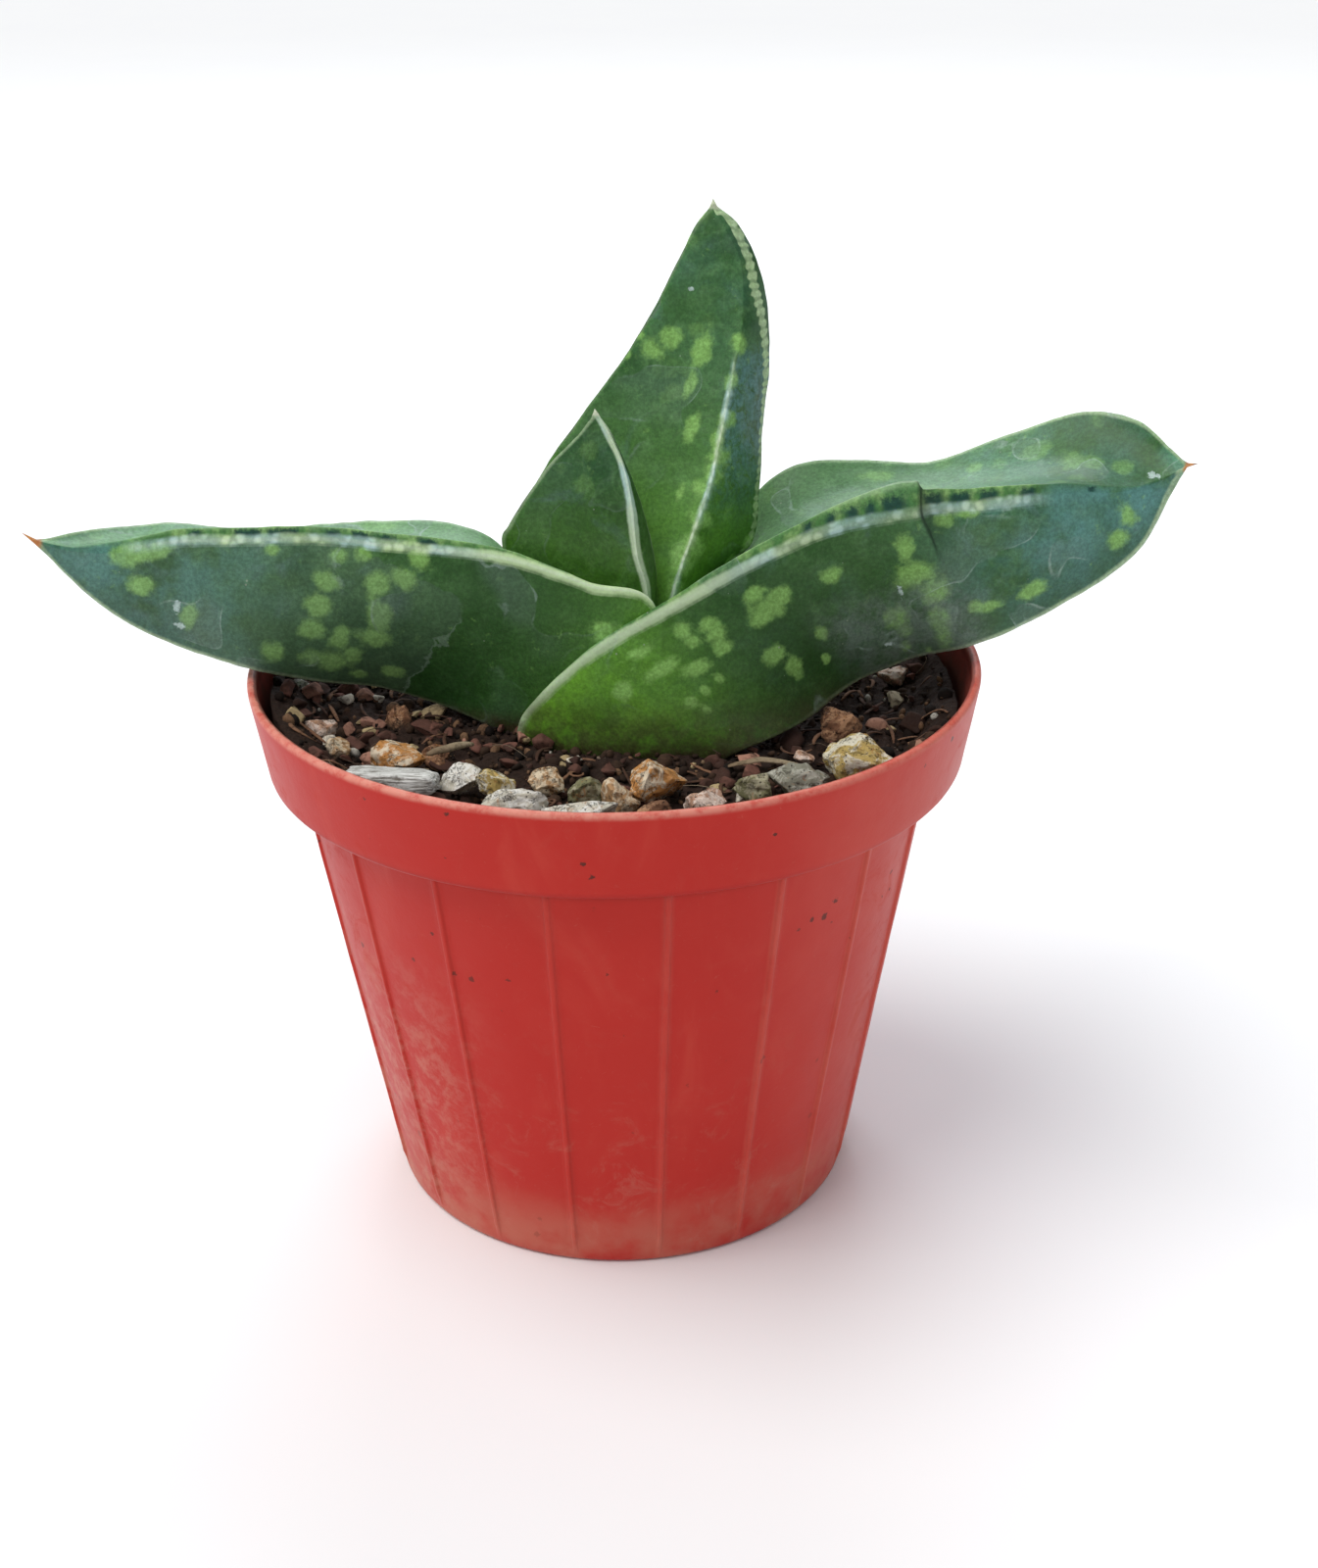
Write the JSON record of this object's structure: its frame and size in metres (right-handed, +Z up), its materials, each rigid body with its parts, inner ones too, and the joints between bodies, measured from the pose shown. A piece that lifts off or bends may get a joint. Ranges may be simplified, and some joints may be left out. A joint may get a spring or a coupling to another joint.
{
  "type": "potted gasteria",
  "caption": "Young gasteria with thick three-sided leaves, in a ribbed tapered nursery pot of gritty soil.",
  "frame": {"origin": "on the pot's axis, at the middle of the surface it stands on", "axes": "+Z up along the pot's axis; X along the two long leaves; the front of the plant faces -Y"},
  "size_m": [0.1635, 0.105, 0.1429],
  "materials": {
    "pot_plastic": "satin moulded plastic, terracotta red, dusty",
    "soil": "loose dark potting soil with bark fibre",
    "leaf": "thick waxy leaf, dark green with pale green spots",
    "stem": "fibrous pale green stem",
    "root": "fleshy pale tan root",
    "stone": "rough porous gravel, tan to grey",
    "bark": "weathered grey bark",
    "twig": "dry stalk"
  },
  "bodies": {
    "root": {"pot": "pot_plastic", "soil": "soil", "stem": "stem", "left_leaf": "leaf", "right_leaf": "leaf", "upright_leaf": "leaf", "young_leaf": "leaf", "bark_slab": "bark", "root_01": "root", "root_02": "root", "root_03": "root", "root_04": "root", "root_05": "root", "stone_01": "stone", "stone_02": "stone", "stone_03": "stone", "stone_04": "stone", "stone_05": "stone", "stone_06": "stone", "stone_07": "stone", "stone_08": "stone", "stone_09": "stone", "stone_10": "stone", "stone_11": "stone", "stone_12": "stone", "stone_13": "stone", "stone_14": "stone", "stone_15": "stone", "stone_16": "stone", "stone_17": "stone", "stone_18": "stone", "stone_19": "stone", "stone_20": "stone", "stone_21": "stone", "stone_22": "stone", "stone_23": "stone", "stone_24": "stone", "stone_25": "stone", "stone_26": "stone", "stone_27": "stone", "stone_28": "stone", "stone_29": "stone", "stone_30": "stone", "stone_31": "stone", "twig_01": "twig", "twig_02": "twig"}
  },
  "joints": []
}
